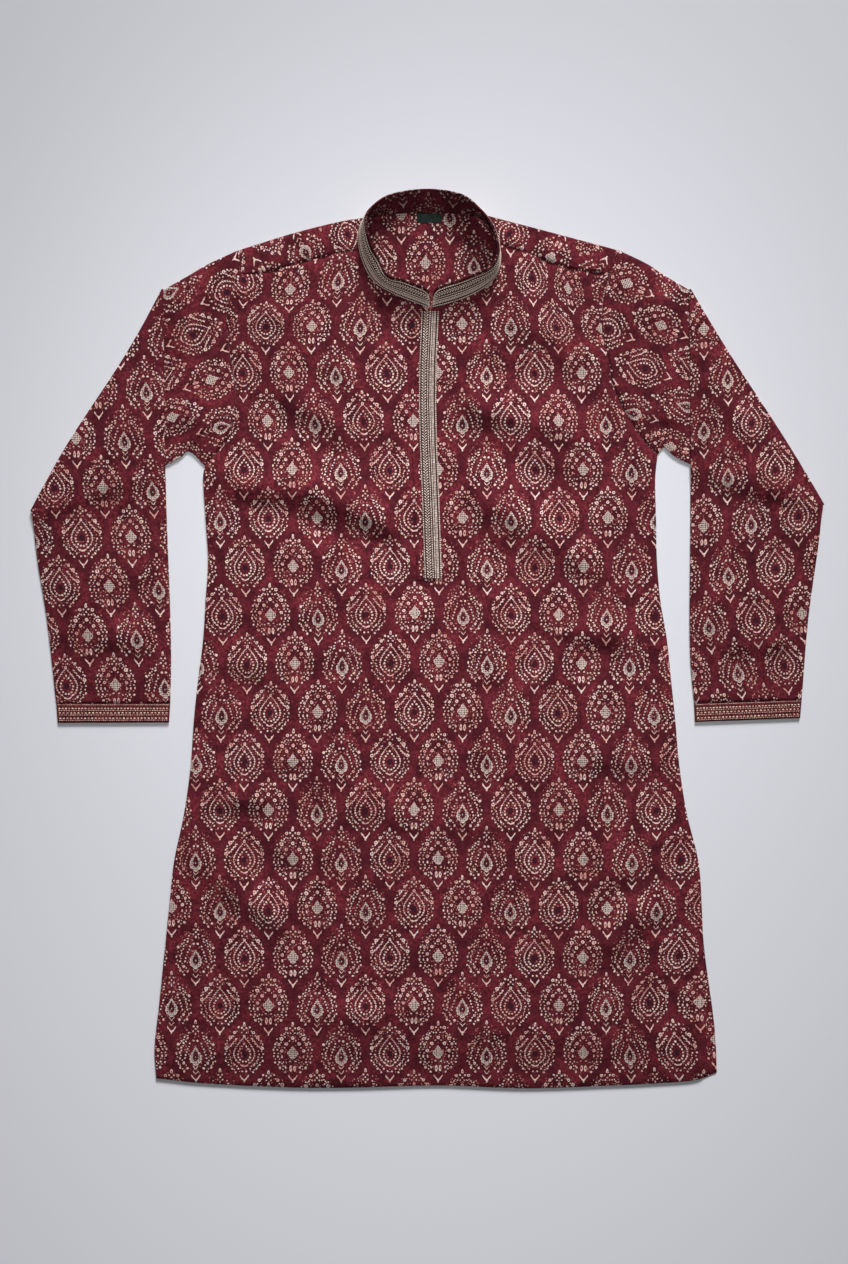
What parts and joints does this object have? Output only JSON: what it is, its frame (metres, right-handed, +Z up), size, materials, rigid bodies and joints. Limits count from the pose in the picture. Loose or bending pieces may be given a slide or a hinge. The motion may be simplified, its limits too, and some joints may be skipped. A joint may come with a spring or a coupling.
{
  "type": "kurta tunic",
  "caption": "Long printed kurta tunic laid flat, with a band collar, braided placket, side slits and folded long sleeves.",
  "frame": {"origin": "middle of the laid-out garment's box, on the surface that it lies on", "axes": "+X to the right as seen from above, +Y from the hem to the collar, +Z up, out of the garment's front"},
  "size_m": [0.9516, 1.0764, 0.0307],
  "materials": {
    "printed_cloth": "matte woven cotton, maroon, with a small beige drop print",
    "cuff_border": "matte woven cotton with stitched border rows",
    "braid": "grey-beige embroidered braid, slight sheen",
    "label_cloth": "dark woven label, blank"
  },
  "bodies": {
    "root": {"back_panel": "printed_cloth", "front_panel": "printed_cloth", "sleeve_left": "printed_cloth", "sleeve_right": "printed_cloth", "cuff_left": "cuff_border", "cuff_right": "cuff_border", "collar_band": "printed_cloth", "collar_trim": "braid", "placket_band": "printed_cloth", "placket_trim": "braid", "neck_label": "label_cloth"}
  },
  "joints": []
}
